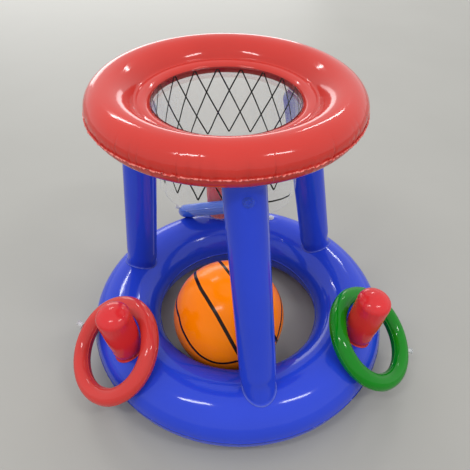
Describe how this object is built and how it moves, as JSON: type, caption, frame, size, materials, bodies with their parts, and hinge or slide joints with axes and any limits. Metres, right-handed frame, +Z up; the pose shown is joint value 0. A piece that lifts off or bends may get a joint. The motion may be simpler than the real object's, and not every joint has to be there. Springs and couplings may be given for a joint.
{
  "type": "inflatable basketball hoop",
  "caption": "Inflatable floor-standing basketball hoop with a clear net, toss pegs with loose rings, and a ball lying in its base.",
  "frame": {"origin": "the middle of the box round the whole toy, on the floor that it stands on", "axes": "+Z is up, and the front leg stands at -Y of the origin, with +X to the right of someone facing it"},
  "size_m": [0.5986, 0.5984, 0.5223],
  "materials": {
    "blue_film": "gloss",
    "red_film": "gloss",
    "green_film": "gloss",
    "orange_skin": "gloss",
    "clear_film": "clear gloss",
    "valve": "clear gloss"
  },
  "bodies": {
    "hoop_frame": {"base_upper_sheet": "blue_film", "base_lower_sheet": "blue_film", "leg_front": "blue_film", "leg_left": "blue_film", "leg_right": "blue_film", "hoop_upper_sheet": "red_film", "hoop_lower_sheet": "red_film", "net_film": "clear_film", "peg_left_wall": "red_film", "peg_left_cap": "red_film", "peg_right_wall": "red_film", "peg_right_cap": "red_film", "peg_rear_wall": "red_film", "peg_rear_cap": "red_film", "valve_base_stem": "valve", "valve_hoop_stem": "valve", "valve_leg_front_stem": "valve", "valve_leg_left_stem": "valve", "valve_leg_right_stem": "valve"},
    "toss_ring_left": {"ring_left_upper_sheet": "red_film", "ring_left_lower_sheet": "red_film", "valve_ring_left_stem": "valve"},
    "toss_ring_right": {"ring_right_upper_sheet": "green_film", "ring_right_lower_sheet": "green_film", "valve_ring_right_stem": "valve"},
    "toss_ring_rear": {"ring_rear_upper_sheet": "blue_film", "ring_rear_lower_sheet": "blue_film", "valve_ring_rear_stem": "valve"},
    "ball": {"ball_skin": "orange_skin", "valve_ball_stem": "valve"},
    "valve_base_plug_body": {"valve_base_plug": "valve"},
    "valve_hoop_plug_body": {"valve_hoop_plug": "valve"},
    "valve_leg_front_plug_body": {"valve_leg_front_plug": "valve"},
    "valve_leg_left_plug_body": {"valve_leg_left_plug": "valve"},
    "valve_leg_right_plug_body": {"valve_leg_right_plug": "valve"},
    "valve_ring_left_plug_body": {"valve_ring_left_plug": "valve"},
    "valve_ring_right_plug_body": {"valve_ring_right_plug": "valve"},
    "valve_ring_rear_plug_body": {"valve_ring_rear_plug": "valve"},
    "valve_ball_plug_body": {"valve_ball_plug": "valve"}
  },
  "joints": [
    {"name": "toss_ring_left_lift", "type": "slide", "parent": "hoop_frame", "child": "toss_ring_left", "axis": [-0.1218, -0.0637, 0.9905], "range_m": [0, 0.2]},
    {"name": "toss_ring_right_lift", "type": "slide", "parent": "hoop_frame", "child": "toss_ring_right", "axis": [0.1115, -0.0804, 0.9905], "range_m": [0, 0.2]},
    {"name": "toss_ring_rear_lift", "type": "slide", "parent": "hoop_frame", "child": "toss_ring_rear", "axis": [-0.0036, 0.1374, 0.9905], "range_m": [0, 0.2]},
    {"name": "ball_out", "type": "slide", "parent": "hoop_frame", "child": "ball", "axis": [0.6561, 0, 0.7547], "range_m": [0, 0.45]},
    {"name": "valve_base_plug_pull", "type": "slide", "parent": "hoop_frame", "child": "valve_base_plug_body", "axis": [0, 0, 1], "range_m": [0, 0.012]},
    {"name": "valve_hoop_plug_pull", "type": "slide", "parent": "hoop_frame", "child": "valve_hoop_plug_body", "axis": [-0.0469, -0.175, -0.9834], "range_m": [0, 0.012]},
    {"name": "valve_leg_front_plug_pull", "type": "slide", "parent": "hoop_frame", "child": "valve_leg_front_plug_body", "axis": [-0.2058, -0.9626, 0.1762], "range_m": [0, 0.012]},
    {"name": "valve_leg_left_plug_pull", "type": "slide", "parent": "hoop_frame", "child": "valve_leg_left_plug_body", "axis": [-0.7462, 0.6531, 0.1288], "range_m": [0, 0.012]},
    {"name": "valve_leg_right_plug_pull", "type": "slide", "parent": "hoop_frame", "child": "valve_leg_right_plug_body", "axis": [0.9209, 0.3164, 0.2278], "range_m": [0, 0.012]},
    {"name": "valve_ring_left_plug_pull", "type": "slide", "parent": "toss_ring_left", "child": "valve_ring_left_plug_body", "axis": [-0.7041, 0.6802, 0.2041], "range_m": [0, 0.012]},
    {"name": "valve_ring_right_plug_pull", "type": "slide", "parent": "toss_ring_right", "child": "valve_ring_right_plug_body", "axis": [0.9682, -0.1488, -0.2012], "range_m": [0, 0.012]},
    {"name": "valve_ring_rear_plug_pull", "type": "slide", "parent": "toss_ring_rear", "child": "valve_ring_rear_plug_body", "axis": [-0.9157, 0.1008, 0.389], "range_m": [0, 0.012]},
    {"name": "valve_ball_plug_pull", "type": "slide", "parent": "ball", "child": "valve_ball_plug_body", "axis": [0.2028, 0.9126, 0.3549], "range_m": [0, 0.012]}
  ]
}
